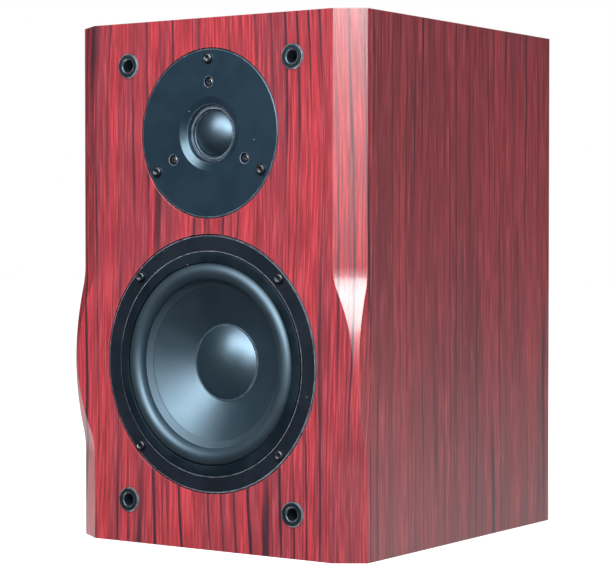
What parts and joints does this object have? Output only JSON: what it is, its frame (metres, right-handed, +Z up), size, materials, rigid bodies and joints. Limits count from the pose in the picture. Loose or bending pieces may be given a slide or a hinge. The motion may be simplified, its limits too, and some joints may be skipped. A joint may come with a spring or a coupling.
{
  "type": "bookshelf speaker",
  "caption": "Two-way bookshelf loudspeaker: swelled bevelled front baffle, cone bass driver, dome tweeter, rear port and terminal cup with screw posts.",
  "frame": {"origin": "middle of the cabinet's base, halfway between the front face and the rear face", "axes": "+Z up, -Y out of the front baffle, +X to the listener's right as the front is looked at"},
  "size_m": [0.218, 0.2486, 0.328],
  "materials": {
    "red_grain_front": "satin",
    "red_grain_side": "satin",
    "rear_veneer": "satin",
    "wadding": "matte",
    "black_plastic": "satin",
    "frame_paint": "matte",
    "face_paint": "matte",
    "black_foam": "matte",
    "black_rubber": "satin",
    "cone_polymer": "satin",
    "cap_polymer": "satin",
    "former_film": "satin",
    "copper": "satin",
    "spider_cloth": "matte",
    "plated_steel": "satin",
    "ferrite": "matte",
    "fibre_board": "matte",
    "black_screw": "satin",
    "soft_dome": "satin",
    "tab_brass": "satin",
    "gold_plate": "polished",
    "red_plastic": "gloss",
    "knob_black": "gloss",
    "tinned_metal": "satin",
    "hardboard": "matte",
    "zinc_screw": "satin",
    "film_case": "gloss",
    "ceramic": "matte",
    "input_wire": "satin",
    "bass_wire": "satin",
    "treble_wire": "satin"
  },
  "bodies": {
    "cabinet": {"front_baffle": "red_grain_front", "left_side_panel": "red_grain_side", "right_side_panel": "red_grain_side", "top_panel": "red_grain_side", "bottom_panel": "red_grain_side", "rear_panel": "rear_veneer", "damping_wadding": "wadding", "grille_sockets": "black_plastic", "port_tube": "black_plastic", "woofer_frame": "frame_paint", "woofer_seal": "black_foam", "woofer_gasket_ring": "black_rubber", "woofer_surround": "black_rubber", "woofer_spider": "spider_cloth", "woofer_top_plate": "plated_steel", "woofer_magnet": "ferrite", "woofer_pole_plate": "plated_steel", "woofer_terminals": "fibre_board", "woofer_tinsel_leads": "copper", "woofer_screws": "black_screw", "tweeter_faceplate": "face_paint", "tweeter_seal": "black_foam", "tweeter_surround": "soft_dome", "tweeter_carrier_ring": "black_plastic", "tweeter_top_plate": "plated_steel", "tweeter_magnet": "ferrite", "tweeter_pole_plate": "plated_steel", "tweeter_rear_chamber": "black_plastic", "tweeter_inner_screws": "black_screw", "tweeter_outer_screws": "black_screw", "tweeter_terminals": "tab_brass", "terminal_cup": "black_plastic", "terminal_cup_seal": "black_foam", "terminal_cup_screws": "black_screw", "post_stems": "gold_plate", "red_post_collar": "red_plastic", "black_post_collar": "knob_black", "post_nuts": "gold_plate", "solder_lugs": "tinned_metal", "crossover_board": "hardboard", "crossover_screws": "zinc_screw", "bass_inductor_bobbin": "black_plastic", "bass_inductor_winding": "copper", "treble_inductor": "copper", "film_capacitors": "film_case", "ceramic_resistors": "ceramic", "input_leads": "input_wire", "woofer_leads": "bass_wire", "tweeter_leads": "treble_wire"},
    "woofer_moving": {"woofer_cone": "cone_polymer", "woofer_dust_cap": "cap_polymer", "woofer_coil_former": "former_film", "woofer_voice_coil": "copper"},
    "tweeter_moving": {"tweeter_dome": "soft_dome", "tweeter_voice_coil": "copper"},
    "red_clamp": {"red_clamp_washer": "gold_plate"},
    "red_cap": {"red_post_cap": "red_plastic"},
    "black_clamp": {"black_clamp_washer": "gold_plate"},
    "black_cap": {"black_post_cap": "knob_black"}
  },
  "joints": [
    {"name": "woofer_cone_travel", "type": "slide", "parent": "cabinet", "child": "woofer_moving", "axis": [0, -1, 0], "range_m": [-0.005, 0.005], "stiffness_N_per_m": 1100, "deforming": ["woofer_surround", "woofer_spider", "woofer_tinsel_leads"]},
    {"name": "tweeter_dome_travel", "type": "slide", "parent": "cabinet", "child": "tweeter_moving", "axis": [0, -1, 0], "range_m": [-0.0003, 0.0003], "stiffness_N_per_m": 3000, "deforming": ["tweeter_surround"]},
    {"name": "red_clamp_slide", "type": "slide", "parent": "cabinet", "child": "red_clamp", "axis": [0, 1, 0], "range_m": [0, 0.004]},
    {"name": "red_cap_turn", "type": "hinge", "parent": "red_clamp", "child": "red_cap", "pos_m": [-0.00953, 0.114, 0.1], "axis": [0, 1, 0], "range_deg": [0, 1441]},
    {"name": "black_clamp_slide", "type": "slide", "parent": "cabinet", "child": "black_clamp", "axis": [0, 1, 0], "range_m": [0, 0.004]},
    {"name": "black_cap_turn", "type": "hinge", "parent": "black_clamp", "child": "black_cap", "pos_m": [0.00953, 0.114, 0.1], "axis": [0, 1, 0], "range_deg": [0, 1441]}
  ],
  "couplings": [
    {"joint": "red_cap_turn", "follows": "red_clamp_slide", "rad_per_m": 6283.2},
    {"joint": "black_cap_turn", "follows": "black_clamp_slide", "rad_per_m": 6283.2}
  ]
}
